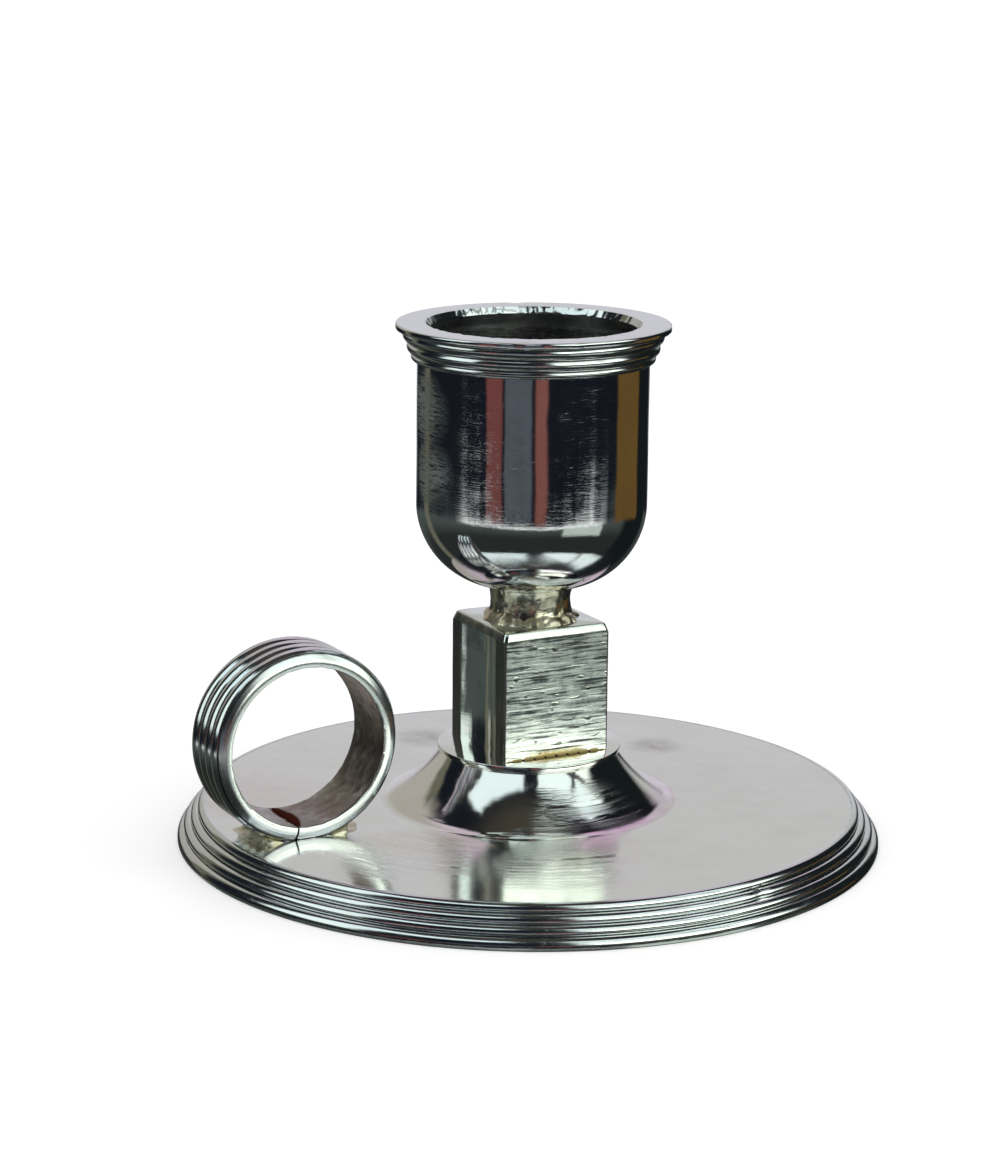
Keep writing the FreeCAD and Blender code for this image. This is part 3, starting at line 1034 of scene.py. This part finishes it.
def boss_foot_tinges():
    """Violet wear round the foot of the boss, at the front and the right."""
    radius = 14.6 * MM
    height = 4.3 * MM
    reach = 3.2 * MM
    strength = 0.8
    tinges = []
    for angle in range(-92, 0, 15):
        spot = (radius * math.cos(math.radians(angle)), radius * math.sin(math.radians(angle)), height)
        tinges.append((spot, reach, strength, VIOLET))
    return tinges


def seam_spots():
    """A red-brown wedge across the inside of the loop's foot, widest in the middle."""
    first = Vector((-28.75, -3.0, 5.55))
    pitch = 0.68
    bow = 0.4
    count = 11
    spots = []
    for step in range(count):
        swell = math.sin(math.pi * (step + 1) / (count + 1))
        centre = (first + Vector((bow * swell, pitch * step, 0))) * MM
        reach = (0.35 + 0.95 * swell) * MM
        spots.append((centre, reach, RED_BROWN))
    return spots


dish_silver = silver("dish_silver", (0.94, 0.935, 0.925, 1), (0.85, 0.81, 0.79, 1), 0.13, 0.30, wave=0.2,
                     lined=0.35, turned=True, tinges=dish_tinges,
                     scuffs=(((-0.0200, -0.0120, 0.004), 0.0120), ((-0.0080, -0.0235, 0.004), 0.0110)))
reeded_silver = silver("reeded_silver", (0.84, 0.87, 0.885, 1), (0.69, 0.68, 0.63, 1), 0.13, 0.42, wave=0.15,
                       creased=1.0, stain=(0.20, 0.14, 0.115, 1), stained=0.85, lined=0.35,
                       spots=seam_spots())
boss_silver = silver("boss_silver", (0.90, 0.90, 0.88, 1), (0.72, 0.69, 0.60, 1), 0.07, 0.25, wave=0.3,
                     turned=True, lined=0.5, tinges=boss_foot_tinges(),
                     scuffs=(((0.0035, -0.0129, 0.0054), 0.0056), ((-0.0030, -0.0125, 0.0058), 0.0044)))
neck_silver = silver("neck_silver", (0.88, 0.85, 0.72, 1), (0.66, 0.54, 0.30, 1), 0.12, 0.34, wave=0.4,
                     creased=0.95, marks=(0.5, 0.5, 3), lined=0.8, stain=(0.50, 0.36, 0.13, 1), stained=0.7)
pillar_silver = silver("pillar_silver", (0.88, 0.92, 0.88, 1), (0.66, 0.69, 0.66, 1), 0.10, 0.29, wave=0.2,
                       creased=0.8, marks=(0.14, 0.14, 3), lined=0.6, streaked=0.95,
                       stain=(0.36, 0.26, 0.10, 1), stained=0.95)
cup_silver = silver("cup_silver", (0.84, 0.85, 0.86, 1), (0.62, 0.60, 0.58, 1), 0.05, 0.50, wave=0.1,
                    patchy=0.16, creased=0.9, marks=(0.3, 0.3, 5), lined=0.42, stain=(0.10, 0.10, 0.10, 1),
                    stained=0.85,
                    scuffs=(((-0.0122, 0.0010, 0.0475), 0.0052), ((-0.0122, -0.0002, 0.0410), 0.0046)))
solder_silver = silver("solder_silver", (0.84, 0.80, 0.66, 1), (0.46, 0.36, 0.18, 1), 0.2, 0.5, wave=0.8,
                       creased=1.0, stain=(0.34, 0.23, 0.07, 1), stained=0.9, lined=0.5)

place(make_border(), "base_border", reeded_silver)
place(make_boss(), "boss", boss_silver)
place(make_plate(), "boss_plate", boss_silver)
place(make_block(), "pillar_block", pillar_silver)
place(make_cap(), "pillar_cap", pillar_silver)
place(make_neck(), "neck", neck_silver)
place(make_neck_solder(), "neck_solder", solder_silver)
place(make_cup(), "socket_cup", cup_silver)
place(make_rim(), "socket_rim", reeded_silver)
place(make_loop(), "finger_loop", reeded_silver)
for fillet in make_pillar_solder():
    place(fillet, "pillar_solder", solder_silver)
for fillet in make_loop_solder():
    place(fillet, "loop_solder", solder_silver)
for material_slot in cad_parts["dish"].material_slots:
    material_slot.material = dish_silver

make_floor()
make_room()
make_camera()
bpy.context.scene.view_settings.view_transform = "Standard"
